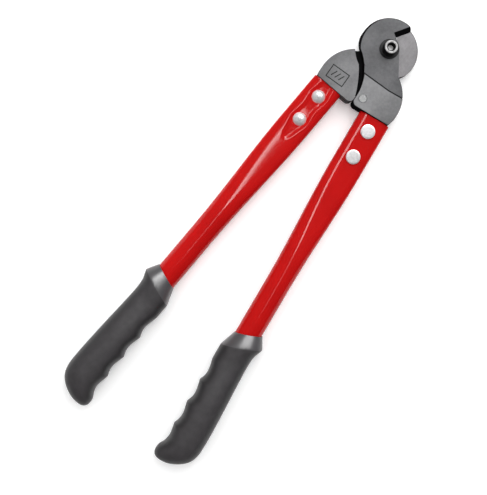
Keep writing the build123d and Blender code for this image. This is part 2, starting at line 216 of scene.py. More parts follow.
class CutterStage(bpy.types.PropertyGroup):
    """Camera, floor and lights."""

    eye: bpy.props.FloatVectorProperty(
        name="Eye",
        description="Place of the camera",
        default=(-0.0334, -0.2297, 0.7656),
        subtype="TRANSLATION",
        unit="LENGTH",
    )
    aim: bpy.props.FloatVectorProperty(
        name="Aim",
        description="Turn of the camera",
        default=(math.radians(-0.856), math.radians(-2.182), math.radians(35.302)),
        subtype="EULER",
        unit="ROTATION",
    )
    lens: bpy.props.FloatProperty(
        name="Lens", description="Focal length in millimetres", default=59.8, min=1
    )
    floor_size: length("Floor", "Side of the floor", 6000)
    floor_tint: colour("Floor Colour", "Colour of the floor", (0.96, 0.96, 0.96))
    floor_glow: share("Floor Glow", "Light that comes through the floor", 0.16)
    sky: bpy.props.FloatProperty(
        name="Sky", description="Strength of the even light all round", default=0.75, min=0
    )
    sky_reflected: share("Reflected Sky", "Share of the sky that reflections see", 0.16)
    sky_slope: share("Sky Slope", "How much brighter the sky is on its lit side", 0.85)
    lit_side: bpy.props.FloatVectorProperty(
        name="Lit Side",
        description="Side of the sky that is bright",
        default=(-0.578, 0.816, 0),
        subtype="DIRECTION",
    )


# ---------------------------------------------------------------- node tools


def operator_pair(operation):
    """An arithmetic operator that adds a Math node, and its reflected form."""

    def forward(self, other):
        return self.graph.math(operation, self, other)

    def reflected(self, other):
        return self.graph.math(operation, other, self)

    return forward, reflected


class Number:
    """A socket of a node tree. Arithmetic on it adds Math nodes."""

    __add__, __radd__ = operator_pair("ADD")
    __sub__, __rsub__ = operator_pair("SUBTRACT")
    __mul__, __rmul__ = operator_pair("MULTIPLY")
    __truediv__, __rtruediv__ = operator_pair("DIVIDE")
    __pow__, __rpow__ = operator_pair("POWER")

    def __init__(self, graph, socket):
        self.graph = graph
        self.socket = socket

    def __abs__(self):
        return self.math("ABSOLUTE")

    def math(self, operation, *others):
        return self.graph.math(operation, self, *others)

    def most(self, other):
        """The greater of two numbers."""
        return self.math("MAXIMUM", other)

    def rise(self, low, high):
        """0 below low, 1 above high, and a smooth step between them."""
        return self.graph.node(
            "ShaderNodeMapRange",
            {"interpolation_type": "SMOOTHSTEP"},
            {"Value": self, "From Min": low, "From Max": high},
        )

    def near(self, value, reach):
        """1 at value, falling smoothly to 0 at a distance of reach."""
        return 1 - abs(self - value).rise(reach / 2, reach)


class Graph:
    """Builds the nodes of a tree."""

    def __init__(self, tree):
        self.tree = tree
        tree.nodes.clear()

    def node(self, kind, settings=None, sockets=None, output=0):
        """Adds a node: its settings first, then its sockets' values or links."""
        made = self.tree.nodes.new(kind)
        for key, value in (settings or {}).items():
            setattr(made, key, value)
        for key, value in (sockets or {}).items():
            if isinstance(value, Number):
                self.tree.links.new(value.socket, made.inputs[key])
            else:
                made.inputs[key].default_value = value
        return Number(self, made.outputs[output]) if made.outputs else None

    def math(self, operation, *values):
        return self.node("ShaderNodeMath", {"operation": operation}, dict(enumerate(values)))

    def axis(self, vector, name):
        """A component of a vector, by the name of its axis."""
        return self.node("ShaderNodeSeparateXYZ", sockets={0: vector}, output=name)


class Finish(Graph):
    """Builds one procedural material on a Principled shader."""

    def __init__(self, name):
        self.material = bpy.data.materials.new(name)
        self.material.use_nodes = True
        super().__init__(self.material.node_tree)

    def place(self):
        """The piece's own coordinates, in metres."""
        return self.node("ShaderNodeTexCoord", output="Object")

    def grey(self, value):
        """A value as a grey colour."""
        return self.node("ShaderNodeCombineColor", sockets={0: value, 1: value, 2: value})

    def normal(self, name):
        """A component of the surface's normal, by the name of its axis."""
        return self.axis(self.node("ShaderNodeNewGeometry", output="Normal"), name)

    def from_axis(self):
        """Distance from the pivot's axis, in millimetres."""
        x, y = (self.axis(self.place(), name) for name in "XY")
        return (x * x + y * y).math("SQRT") * (1 / MM)

    def towards(self, direction, side):
        """Distance from the pivot's axis in a direction, mirrored for a side, in millimetres."""
        x, y = (self.axis(self.place(), name) for name in "XY")
        return x * (direction[0] * side / MM) + y * (direction[1] / MM)

    def noise(self, size_mm, detail=4, roughness=0.55, stretch=(1, 1, 1), turn=0):
        """Noise whose features have a size in millimetres, stretched along its axes."""
        where = self.node(
            "ShaderNodeMapping",
            sockets={
                "Vector": self.place(),
                "Rotation": (0, 0, turn),
                "Scale": tuple(1 / (size_mm * MM * part) for part in stretch),
            },
        )
        return self.node(
            "ShaderNodeTexNoise",
            sockets={"Vector": where, "Scale": 1, "Detail": detail, "Roughness": roughness},
        )

    def mix(self, factor, first, second, blend="MIX"):
        """Mixes two colours, each a Number or three values."""
        pair = [c if isinstance(c, Number) else (*c, 1) for c in (first, second)]
        return self.node(
            "ShaderNodeMix",
            {"data_type": "RGBA", "blend_type": blend},
            {MIX_FACTOR: factor, MIX_FIRST: pair[0], MIX_SECOND: pair[1]},
            MIX_RESULT,
        )

    def bump(self, height, depth_mm, under=None):
        """Normal of a surface raised by height, which runs from 0 to 1, times a depth."""
        sockets = {"Height": height, "Distance": depth_mm * MM, "Strength": 1}
        if under is not None:
            sockets["Normal"] = under
        return self.node("ShaderNodeBump", sockets=sockets)

    def surface(self, **sockets):
        """Ends the material in a Principled shader with these sockets."""
        names = {k.replace("_", " ").title().replace("Ior", "IOR"): v for k, v in sockets.items()}
        shader = self.node("ShaderNodeBsdfPrincipled", sockets=names)
        self.node("ShaderNodeOutputMaterial", sockets={"Surface": shader})
        return self.material


# ---------------------------------------------------------------- mesh tools


def handle_point(across, along, height):
    """Point of the right handle: across it, along it from its start, and above the shear plane."""
    sizes = bpy.context.scene.cutter_handle
    plan = UPPER_RIVET + ALONG * (along - sizes.rivet_from_start) + ACROSS * across
    return Vector((plan.x, plan.y, SHEAR + height))


def turns(count, shift=0):
    """Angles of points spread evenly round a circle."""
    return [2 * math.pi * (i + shift) / count for i in range(count)]


def quarter(radius, steps):
    """Places along a rounded edge, each as its distances from the two faces that meet there."""
    angles = [math.pi / 2 * step / steps for step in range(steps + 1)]
    return [(radius * (1 - math.cos(angle)), radius * (1 - math.sin(angle))) for angle in angles]


def round_point(radius, angle, height):
    """Point at a radius and an angle round the pivot's axis."""
    return Vector((radius * math.cos(angle), radius * math.sin(angle), height))


def face_outwards(shape, mesh):
    """Writes a working shape to a mesh, with its faces turned outwards."""
    bmesh.ops.recalc_face_normals(shape, faces=shape.faces)
    shape.to_mesh(mesh)
    shape.free()
    return mesh


def ring_mesh(name, rings, closed=False):
    """A mesh whose rings of points are joined in turn. A ring of one point is a pole."""
    shape = bmesh.new()
    rows = [[shape.verts.new(point) for point in ring] for ring in rings]
    pairs = list(zip(rows, rows[1:]))
    if closed:
        pairs.append((rows[-1], rows[0]))
    for first, second in pairs:
        count = max(len(first), len(second))
        for i in range(count):
            j = (i + 1) % count
            corners = [first[i % len(first)], first[j % len(first)]]
            corners += [second[j % len(second)], second[i % len(second)]]
            shape.faces.new(list(dict.fromkeys(corners)))
    return face_outwards(shape, bpy.data.meshes.new(name))


def smooth(mesh, sharp_angle):
    """Smooth shading, apart from edges sharper than an angle in degrees."""
    mesh.shade_smooth()
    mesh.set_sharp_from_angle(angle=math.radians(sharp_angle))


def add_object(name, data):
    """Adds an object to the scene."""
    made = bpy.data.objects.new(name, data)
    bpy.context.scene.collection.objects.link(made)
    return made


def cover(mesh, material):
    """Gives a mesh one material."""
    mesh.materials.clear()
    mesh.materials.append(material)


def add_piece(name, mesh, body, replaced, material=None):
    """Adds a finished mesh as a piece that rides on a body and stands in for CAD nodes."""
    piece = add_object(name, mesh)
    if material is not None:
        cover(mesh, material)
    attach(piece, body)
    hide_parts(*replaced)


def add_halves(mesh, piece_name, material):
    """Adds a mesh of the right half and its turned copy for the left half."""
    for side, placement in HALVES.items():
        copy = mesh.copy()
        copy.transform(placement)
        name = f"{side}_{piece_name}"
        copy.name = name
        add_piece(f"{name}_shown", copy, f"{side}_half", [name], material)
    bpy.data.meshes.remove(mesh)


def paint(node, material):
    """Gives a CAD node a material."""
    cover(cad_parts[node].data, material)


def soft_step(value):
    """Smooth step from 0 to 1 as value goes from 0 to 1."""
    held = min(max(value, 0), 1)
    return held * held * (3 - 2 * held)


# ---------------------------------------------------------------- materials


def steel_finish(finishes, name, side, bare_heel):
    """Forged steel: blackened walls and bevels, dull flat faces, ground mating faces.

    The side is 1 for the jaw whose body lies towards +X and -1 for the other, and bare_heel is the
    share of the black skin worn off the wall towards the handle.
    """
    finish = Finish(name)
    upward = finish.normal("Z")
    facing = abs(upward)
    flat = facing.rise(0.72, 0.97)
    level = abs(finish.axis(finish.place(), "Z") - SHEAR) * (1 / MM)
    plate_level = (PLATE_TOP - SHEAR) / MM
    raised = level.rise(plate_level + 0.3, plate_level + 0.9)
    to_body = finish.towards(TO_BODY, side)
    away = finish.from_axis()
    disc = DISC_RADIUS / MM

    # The relief groove along the body's foot lies a little under the plate's face. Its floor is
    # painted black as painted shade, the shade in the corner at the body's foot
    groove = level.rise(6.6, 7.2) * (1 - level.rise(plate_level - 0.25, plate_level - 0.12))

    # The grinding reaches the mating faces over the disc. Beyond it, towards the body and under the
    # body's wall, the mating face is painted black: painted shade for the deep gap there
    between = 1 - level.rise(0.3, 1.0)
    outside_painted_shade = (1 - to_body.rise(14, 16)) * (1 - away.rise(disc - 0.5, disc + 0.3))
    ground = between * outside_painted_shade

    cloud = finish.noise(22, detail=2)
    scale_marks = finish.noise(2.6, detail=5, roughness=0.62)
    grain = finish.noise(0.55, detail=3, roughness=0.7)
    grinding = finish.noise(0.9, detail=2, stretch=(0.35, 9, 1), turn=math.radians(28))

    # The bodies are lighter than the plates, and darken towards their flanks
    plain_side = (upward * -side).rise(0.5, 0.9) * away.rise(disc, disc + 1)
    face = finish.mix(raised.most(plain_side * 0.75), finishes.plate, finishes.body)
    face = finish.mix(ground, face, finishes.ground)
    shade = 0.22 + cloud * 0.8 + scale_marks * 0.6 + grain * 0.2
    shade = shade * (1 - finish.towards(TO_FLANK, side).rise(16, 38) * 0.3)
    shade = shade * (1 - ground * 0.2) + ground * grinding * 0.3
    face = finish.mix(1.0, face, finish.grey(shade), "MULTIPLY")
    # Painted shade: the groove's floor is painted near black
    face = finish.mix(groove * 0.85, face, finishes.oxide)
    # Painted shade: the mating face outside the ground part is painted black
    face = finish.mix(between * (1 - outside_painted_shade), face, finishes.oxide)

    # Painted shade: a black band round the disc's rim, widest on the side away from the body,
    # stands in for the dark wall and the shadow at the rim
    slanted = away + finish.towards(TO_BACK, side) * 0.075
    band = slanted.rise(disc - 0.25, disc + 0.1) * (1 - between)
    edge = away.rise(disc - 0.9, disc - 0.2) * 0.6
    on_plate = (1 - away.rise(disc, disc + 0.3)) * (1 - raised) * (1 - to_body.rise(12, 16))
    face = finish.mix(band.most(edge) * on_plate, face, finishes.oxide)

    # Walls and bevels stay black, apart from the heel and the rounded edges of the bodies, which
    # are painted bright steel: partly wear, partly a painted highlight where the edges catch the
    # light
    heel = (0 - finish.normal("Y")).rise(0.4, 0.8)
    coat = finish.mix(flat.most(heel * bare_heel), finishes.oxide, face)
    rubbed = facing.near(0.72, 0.2) * raised
    coat = finish.mix(rubbed * 0.5, coat, finishes.worn)

    relief = finish.bump(grain * 0.4 + scale_marks * 0.6, 0.05)
    relief = finish.bump(grinding * ground, 0.02, relief)
    return finish.surface(
        base_color=coat,
        metallic=flat * 0.12,
        roughness=0.5 + scale_marks * 0.16 - ground * 0.1,
        specular_ior_level=0.0,
        normal=relief,
    )


def enamel_finish(finishes):
    """Red powder coat: a glossy skin with a light orange peel over hand-pressed metal."""
    finish = Finish("red_enamel")
    peel = finish.noise(1.3, detail=2, roughness=0.4)
    wave = finish.noise(10, detail=1, stretch=(1, 2.2, 1), turn=math.atan2(-ALONG.x, -ALONG.y))
    cloud = finish.noise(26, detail=2)
    specks = finish.noise(0.35, detail=1).rise(0.66, 0.74)
    coat = finish.mix(cloud.rise(0.35, 0.75) * 0.35, finishes.enamel, finishes.enamel_shade)
    coat = finish.mix(specks * 0.35, coat, finishes.enamel_shade)
    relief = finish.bump(wave, 0.16)
    relief = finish.bump(finish.noise(5, detail=2), 0.09, relief)
    relief = finish.bump(peel, 0.006, relief)
    return finish.surface(
        base_color=coat,
        roughness=finishes.enamel_roughness + peel * 0.08,
        coat_weight=0.42 + peel * 0.15,
        coat_roughness=0.07,
        specular_ior_level=0.0,
        normal=relief,
    )


def rubber_finish(finishes):
    """Moulded rubber: fine grain, a smoother collar with a painted sheen, and a painted sheen on
    the faces turned up and down.
    """
    finish = Finish("grip_rubber")
    grain = finish.noise(0.42, detail=3, roughness=0.75)
    mottle = finish.noise(6, detail=3)
    collar = finish.node("ShaderNodeAttribute", {"attribute_name": "collar"}, output="Fac")
    # Painted sheen: faces turned up and down are painted lighter and mottled, where a broad
    # highlight lies
    worn = (0.35 + mottle * 0.7) * abs(finish.normal("Z")).rise(0.6, 1.0)
    coat = finish.mix(worn, finishes.rubber, finishes.rubber_grain_and_sheen)
    coat = finish.mix(grain.rise(0.35, 0.7) * 0.3, coat, finishes.rubber_grain_and_sheen)
    # Painted sheen: the collar is painted a lighter grey where its cone catches the light
    coat = finish.mix(collar * 0.8, coat, finishes.collar)
    relief = finish.bump(mottle, 0.05)
    relief = finish.bump(grain * (1 - collar * 0.7), 0.05, relief)
    return finish.surface(
        base_color=coat,
        roughness=finishes.rubber_roughness + mottle * 0.08 - collar * 0.16,
        normal=relief,
    )


def plated_finish(name, tint, roughness, mark_mm):
    """Plated or plain bright steel with fine marks, a cloudy sheen, and painted shade that makes
    flat faces darker than curved ones.
    """
    finish = Finish(name)
    cloud = finish.noise(2.4, detail=3)
    marks = finish.noise(mark_mm, detail=2, roughness=0.6, stretch=(1, 5, 1), turn=math.radians(40))
    # Painted shade: faces turned straight up and down are painted towards this darker tint, while
    # curved faces keep the full tint
    dull = tuple(part * 0.40 for part in tint)
    curved = 1 - abs(finish.normal("Z")).rise(0.9, 0.995)
    return finish.surface(
        base_color=finish.mix((0.75 + cloud.rise(0.35, 0.75) * 0.25) * (1 - curved), tint, dull),
        metallic=0.3 + curved * 0.28,
        roughness=roughness + cloud * 0.12 + marks * 0.1,
        normal=finish.bump(marks * 0.5 + cloud * 0.5, 0.03),
    )


def screw_finish(finishes):
    """Black oxide with the top ring worn bright, and a painted pool of light on the middle of the
    socket's floor.
    """
    finish = Finish("black_screw")
    height = finish.axis(finish.place(), "Z") * (1 / MM)
    cloud = finish.noise(1.6, detail=3)
    grain = finish.noise(0.3, detail=2)
    away = finish.from_axis()
    top = HEAD_TOP / MM
    # The ring round the socket's mouth is worn bright; the middle of the socket's floor is a
    # painted pool of light, and the rest of the floor stays black as painted shade
    rim = height.rise(top - 0.35, top - 0.1) * away.rise(3.9, 4.1)
    floor_light_pool = height.rise(28, 29) * (1 - away.rise(2.3, 2.6))
    # Wear on the top ring, painted light on the socket's floor
    worn = finish.normal("Z").rise(0.55, 0.9) * (rim + floor_light_pool)
    bright = finish.mix(cloud.rise(0.3, 0.8) * 0.25, finishes.worn, finishes.plate)
    return finish.surface(
        base_color=finish.mix(worn, finishes.oxide, bright),
        metallic=0.1 + worn * 0.2,
        roughness=0.42 + cloud * 0.14 - worn * 0.06,
        specular_ior_level=0.1,
        normal=finish.bump(cloud * 0.5 + grain * 0.5, 0.012),
    )


def black_finish(finishes):
    """Black phosphate with rubbed high spots."""
    finish = Finish("black_spring")
    cloud = finish.noise(1.4, detail=3)
    grain = finish.noise(0.35, detail=2)
    return finish.surface(
        base_color=finish.mix(cloud.rise(0.55, 0.85) * 0.15, finishes.oxide, finishes.plate),
        metallic=0.1,
        roughness=0.4 + grain * 0.2,
        specular_ior_level=0.1,
        normal=finish.bump(grain, 0.02),
    )


def plastic_finish(name, tint, roughness):
    """Moulded plastic with a fine sparked texture."""
    finish = Finish(name)
    grain = finish.noise(0.5, detail=3, roughness=0.7)
    cloud = finish.noise(4, detail=2)
    darker = tuple(part * 0.8 for part in tint)
    return finish.surface(
        base_color=finish.mix(cloud, tint, darker),
        roughness=roughness + grain * 0.15,
        normal=finish.bump(grain, 0.03),
    )


# ---------------------------------------------------------------- pieces


class PieceOperator(bpy.types.Operator):
    """Base of the operators that make pieces."""

    bl_options = {"REGISTER", "UNDO"}

    def execute(self, context):
        self.make(context.scene)
        return {"FINISHED"}


class CUTTER_OT_jaws(PieceOperator):
    """Finish the two forged jaws and their stop pins"""

    bl_idname = "cutter.jaws"
    bl_label = "Jaws"

    def make(self, scene):
        finishes = scene.cutter_finishes
        paint("front_jaw", steel_finish(finishes, "front_steel", 1, 0.0))
        paint("rear_jaw", steel_finish(finishes, "rear_steel", -1, 0.8))
        pin = plated_finish("pin_steel", tuple(finishes.pin), 0.36, 0.5)
        for side in HALVES:
            paint(f"{side}_stop_pin", pin)


class CUTTER_OT_pivot_hardware(PieceOperator):
    """Finish the bush, spring washer, washer and lock nut of the pivot"""

    bl_idname = "cutter.pivot_hardware"
    bl_label = "Pivot Hardware"

    def make(self, scene):
        finishes = scene.cutter_finishes
        zinc = plated_finish("zinc_steel", tuple(finishes.zinc), 0.34, 0.35)
        paint("rear_washer", zinc)
        paint("lock_nut", zinc)
        paint("pivot_bush", plated_finish("bright_steel", tuple(finishes.rivet), 0.22, 0.3))
        paint("disc_spring", black_finish(finishes))
        paint("nut_insert", plastic_finish("nylon", tuple(finishes.nylon), 0.35))


class CUTTER_OT_pivot_screw(PieceOperator):
    """Build the socket head screw with its hexagon socket and knurled head"""

    bl_idname = "cutter.pivot_screw"
    bl_label = "Pivot Screw"

    segments = 144
    ribs = 36
    round_steps = 6

    def make(self, scene):
        sizes = scene.cutter_screw
        mesh = ring_mesh("pivot_screw_shown", self.rings(sizes))
        smooth(mesh, sharp_angle=32)
        material = screw_finish(scene.cutter_finishes)
        add_piece("pivot_screw_shown", mesh, "right_half", ["pivot_screw"], material)

    def rings(self, sizes):
        """Rings from the centre of the shank's end, over the head, to the socket's floor."""
        plain = sizes.head_radius - sizes.knurl_depth
        key_radius = sizes.key_flats / 2
        corner_radius = key_radius / math.cos(math.pi / 6)
        floor = HEAD_TOP - sizes.key_depth
        knurl_low = HEAD_BOTTOM + sizes.knurl_margin
        knurl_high = HEAD_TOP - sizes.head_round - sizes.knurl_margin
        rib = sizes.knurl_depth
        profile = [
            (0, 0),
            (sizes.shank_radius - sizes.end_chamfer, 0),
            (sizes.shank_radius, sizes.end_chamfer),
            (sizes.shank_radius, HEAD_BOTTOM),
            (plain - rib, HEAD_BOTTOM),
            (plain, HEAD_BOTTOM + rib),
            (plain, knurl_low),
            (plain, knurl_low + rib, rib),
            (plain, knurl_high - rib, rib),
            (plain, knurl_high),
        ]
        edge = quarter(sizes.head_round, self.round_steps)
        profile += [(plain - inward, HEAD_TOP - down) for inward, down in edge]
        profile.append((corner_radius + sizes.key_mouth, HEAD_TOP))
        rings = [self.ring(*place) for place in profile]
        rings.append(self.hexagon(key_radius, HEAD_TOP - sizes.key_mouth))
        rings.append(self.hexagon(key_radius, floor))
        rings.append(self.ring(0, floor - sizes.key_mouth))
        return rings

    def ring(self, radius, height, rib=0):
        """Circle of points, with ribs raised on it, or one point where the radius is 0."""
        if radius == 0:
            return [Vector((0, 0, height))]
        points = []
        for angle in turns(self.segments):
            wide = radius + rib * (0.5 - 0.5 * math.cos(self.ribs * angle))
            points.append(round_point(wide, angle, height))
        return points

    def hexagon(self, half_flats, height):
        """Hexagon of as many points as a circle has."""
        points = []
        sector = math.pi / 3
        for angle in turns(self.segments):
            off_flat = (angle + sector / 2) % sector - sector / 2
            points.append(round_point(half_flats / math.cos(off_flat), angle, height))
        return points


class CUTTER_OT_tubes(PieceOperator):
    """Build the two tube handles, flattened and pressed in at the jaws"""

    bl_idname = "cutter.tubes"
    bl_label = "Tubes"

    segments = 128
    fine_step = 1.2 * MM
    coarse_step = 4 * MM
    fine_end = 80 * MM
    round_steps = 4
    # Extra power of the flattened end's outline, over an ellipse's 2
    squareness = 2
    # Share by which the channel grows shallower between the rivets
    saddle = 0.35

    def make(self, scene):
        sizes = scene.cutter_handle
        stations = self.stations(sizes)
        outside = [self.ring(sizes, along, inset, 0) for along, inset in stations]
        inside = [self.ring(sizes, along, sizes.wall, inset) for along, inset in stations]
        mesh = ring_mesh("tube", outside + inside[::-1], closed=True)
        smooth(mesh, sharp_angle=50)
        add_halves(mesh, "tube", enamel_finish(scene.cutter_finishes))

    def stations(self, sizes):
        """Places along the tube, with how far each is drawn in at the rounded ends."""
        ends = quarter(sizes.lip_round, self.round_steps)[:-1]
        start, end = sizes.start_gap, sizes.tube_end
        stations = [(start + inward, drawn_in) for inward, drawn_in in ends]
        along = start + sizes.lip_round
        while along < end - sizes.lip_round - self.fine_step:
            stations.append((along, 0))
            along += self.fine_step if along < self.fine_end else self.coarse_step
        stations += [(end - inward, drawn_in) for inward, drawn_in in reversed(ends)]
        return stations

    def ring(self, sizes, along, inset, back):
        """Outline of the tube at a place along it, inset by a wall or a rounded end."""
        run = (along - sizes.flat_end) / (sizes.round_start - sizes.flat_end)
        blend = (1 - math.cos(math.pi * min(max(run, 0), 1))) / 2
        wide = sizes.flat_half_width + blend * (TUBE_RADIUS - sizes.flat_half_width)
        high = sizes.flat_half_height + blend * (TUBE_RADIUS - sizes.flat_half_height)
        wide, high = wide - inset + back, high - inset + back
        power = 2 + self.squareness * (1 - blend)
        points = []
        for angle in turns(self.segments, 0.5):
            across, height = squircle_point(wide, high, power, angle)
            if height < 0:
                height += self.pressed(sizes, across, along) * min(1, -height / high)
            points.append(handle_point(across, along, height))
        return points

    def pressed(self, sizes, across, along):
        """Depth of the channel pressed in round the rivets."""
        rivets = [sizes.rivet_from_start, sizes.rivet_from_start + RIVET_PITCH]
        reach = RIVET_PITCH / 3
        swell = sum(math.exp(-(((along - place) / reach) ** 2)) for place in rivets)
        half = sizes.channel_half - sizes.channel_pinch * (1 - min(swell, 1))
        closing = (along - sizes.channel_taper) / (sizes.channel_end - sizes.channel_taper)
        if closing >= 1:
            return 0
        if closing > 0:
            half *= math.sqrt(1 - closing**2)
        inside = (half + sizes.channel_slope / 2 - abs(across)) / sizes.channel_slope
        depth = sizes.channel_depth * (1 - self.saddle * (1 - min(swell, 1)))
        return depth * soft_step(inside) * min(1, half / sizes.channel_slope)


def squircle_point(wide, high, power, angle):
    """Where a ray from the middle meets a rounded outline of a half width and height."""
    ray_x, ray_y = math.cos(angle), math.sin(angle)
    reach = (abs(ray_x / wide) ** power + abs(ray_y / high) ** power) ** (-1 / power)
    return reach * ray_x, reach * ray_y


class CUTTER_OT_grips(PieceOperator):
    """Build the two rubber grips with collar, finger grooves and hooked end"""

    bl_idname = "cutter.grips"
    bl_label = "Grips"

    segments = 96
    spacing = 1.1 * MM
    fullness = 2.25
    # Finger grooves: how many, the depth of the last as a share of the others', how much steeper
    # they are towards the head, how round their bottoms are, and how fast they fade round the side
    grooves = 4
    last_depth = 0.75
    groove_skew = 1.3
    groove_round = 0.9
    groove_wrap = 1.6
    # Sections in millimetres: across and along at the outer side, across and along at the inner
    # side, and the half height. The first three make the collar, and the last is the tip.
    sections = (
        (12.3, 222.5, -12.0, 231.3, 12.7),
        (17.9, 232.6, -16.9, 245.6, 17.2),
        (18.2, 233.6, -17.3, 246.9, 17.35),
        (17.7, 235.2, -17.4, 248.4, 17.25),
        (15.2, 242.0, -17.4, 253.0, 16.6),
        (14.3, 250.0, -17.4, 259.0, 15.9),
        (14.8, 270.0, -17.4, 271.5, 16.2),
        (15.5, 284.3, -17.5, 284.3, 17.0),
        (16.1, 297.0, -17.5, 297.0, 17.4),
        (16.8, 316.0, -17.6, 316.0, 17.55),
        (17.1, 334.0, -17.6, 333.0, 17.5),
        (16.45, 344.5, -17.7, 343.0, 17.2),
        (14.3, 351.5, -18.8, 350.5, 15.9),
        (10.0, 357.0, -20.6, 356.6, 13.9),
        (3.4, 361.6, -20.2, 361.6, 10.6),
        (-3.6, 364.6, -17.2, 364.8, 6.4),
        (-10.6, 365.5, -10.6, 365.5, 0.0),
    )
    collar_last = 2
    tip_swap = (2, 3, 0, 1)

    def make(self, scene):
        sizes = scene.cutter_grip
        stations, collar = self.stations()
        lip = self.lip_rings(sizes, stations[0])
        rings = lip + [self.ring(sizes, station) for station in stations[:-1]]
        across, along = stations[-1][0], stations[-1][1]
        rings.append([handle_point(across, along, 0)])
        mesh = ring_mesh("grip", rings)
        self.mark_collar(mesh, rings, len(lip), collar)
        smooth(mesh, sharp_angle=40)
        finishes = scene.cutter_finishes
        add_halves(mesh, "grip", rubber_finish(finishes))
        plug = plastic_finish("plug_plastic", tuple(finishes.rubber), 0.4)
        for side in HALVES:
            paint(f"{side}_end_plug", plug)

    def stations(self):
        """Sections close together on a smooth path, and how many of them are the collar."""
        known = [tuple(part * MM for part in section) for section in self.sections]
        before = known[-2]
        beyond = tuple(before[i] for i in self.tip_swap) + (-before[4],)
        known.append(beyond)
        stations = []
        collar = 0
        for i in range(len(self.sections) - 1):
            first, last = known[i], known[i + 1]
            lead = known[i - 1] if i > 0 else tuple(2 * a - b for a, b in zip(first, last))
            steps = max(2, math.ceil(math.dist(first, last) / self.spacing))
            for step in range(steps):
                stations.append(curve_point(lead, first, last, known[i + 2], step / steps))
            if i + 1 == self.collar_last:
                collar = len(stations)
        stations.append(known[len(self.sections) - 1])
        return stations, collar

    def ring(self, sizes, station):
        """Rounded outline through a section's outer and inner points."""
        outer_across, outer_along, inner_across, inner_along, half_height = station
        power = 2 / self.fullness
        points = []
        for angle in turns(self.segments):
            level = math.copysign(abs(math.cos(angle)) ** power, math.cos(angle))
            height = math.copysign(abs(math.sin(angle)) ** power, math.sin(angle)) * half_height
            across = (outer_across + inner_across) / 2 + level * (outer_across - inner_across) / 2
            along = (outer_along + inner_along) / 2 + level * (outer_along - inner_along) / 2
            across += self.groove(sizes, along) * max(0, -level) ** self.groove_wrap
            points.append(handle_point(across, along, height))
        return points

    def groove(self, sizes, along):
        """Depth of the finger grooves: round in the middle and steeper towards the head."""
        count = (along - sizes.groove_start) / sizes.groove_pitch
        if not 0 <= count < self.grooves:
            return 0
        fade = self.last_depth if count >= self.grooves - 1 else 1
        swell = math.sin(math.pi * (count % 1) ** self.groove_skew)
        return sizes.groove_depth * fade * swell**self.groove_round

    def lip_rings(self, sizes, first):
        """Rings from the bore's end up the bore and round the collar's lip."""
        bore, lip = TUBE_RADIUS + sizes.bore_gap, sizes.lip_round
        outer_across, outer_along, inner_across, inner_along = first[:4]
        slope = (outer_along - inner_along) / (outer_across - inner_across)
        middle_along = outer_along - slope * outer_across

        def bore_ring(radius, along, slant):
            """Circle round the tube, in a plane that slants along it."""
            points = []
            for angle in turns(self.segments):
                across, height = radius * math.cos(angle), radius * math.sin(angle)
                points.append(handle_point(across, along + slant * across, height))
            return points

        end = [handle_point(0, sizes.bore_end, 0)]
        rim = bore_ring(bore, sizes.bore_end, 0)
        mouth = bore_ring(bore, middle_along + lip, slope)
        inner_lip = bore_ring(bore + lip * 0.3, middle_along, slope)
        return [end, rim, mouth, inner_lip]

    def mark_collar(self, mesh, rings, lip_count, collar):
        """Writes 1 on the collar's points and 0 elsewhere, for its smoother finish."""
        mark = mesh.attributes.new("collar", "FLOAT", "POINT")
        values = []
        for i, ring in enumerate(rings):
            values += [1.0 if i < lip_count + collar else 0.0] * len(ring)
        mark.data.foreach_set("value", values)


def curve_point(before, first, last, after, part):
    """Point between first and last on a smooth path through four points, without overshoot."""
    shortest = 1e-4
    stops = [0.0]
    for a, b in ((before, first), (first, last), (last, after)):
        stops.append(stops[-1] + max(math.sqrt(math.dist(a, b)), shortest))
    t = stops[1] + part * (stops[2] - stops[1])

    def blend(a, b, low, high):
        share_b = (t - low) / (high - low)
        return tuple(x * (1 - share_b) + y * share_b for x, y in zip(a, b))

    a1 = blend(before, first, stops[0], stops[1])
    a2 = blend(first, last, stops[1], stops[2])
    a3 = blend(last, after, stops[2], stops[3])
    b1 = blend(a1, a2, stops[0], stops[2])
    b2 = blend(a2, a3, stops[1], stops[3])
    return blend(b1, b2, stops[1], stops[2])


# ---------------------------------------------------------------- rivets by Geometry Nodes


class CUTTER_OT_rivets(PieceOperator):
    """Build the rivets of both handles, flat heads on one side and domes on the other"""

    bl_idname = "cutter.rivets"
    bl_label = "Rivets"

    def make(self, scene):
        sizes = scene.cutter_handle
        material = plated_finish("rivet_steel", tuple(scene.cutter_finishes.rivet), 0.24, 0.4)
        values = {
            "Side": 1.0,
            "Flat Radius": sizes.flat_head_radius,
            "Flat Height": sizes.flat_head_height,
            "Flat Seat": sizes.flat_half_height,
            "Dome Radius": sizes.dome_radius,
            "Dome Height": sizes.dome_height,
            "Dome Seat": sizes.flat_half_height - sizes.channel_depth,
        }
        tree = rivet_tree(values, material)
        places = [sizes.rivet_from_start, sizes.rivet_from_start + RIVET_PITCH]
        for side, placement in HALVES.items():
            mesh = bpy.data.meshes.new(f"{side}_rivets")
            mesh.from_pydata([handle_point(0, along, 0) for along in places], [], [])
            mesh.transform(placement)
            values["Side"] = 1.0 if side == "right" else -1.0
            made = apply_tree(mesh, tree, values)
            smooth(made, sharp_angle=40)
            replaced = [f"{side}_upper_rivet", f"{side}_lower_rivet"]
            add_piece(f"{side}_rivets", made, f"{side}_half", replaced)


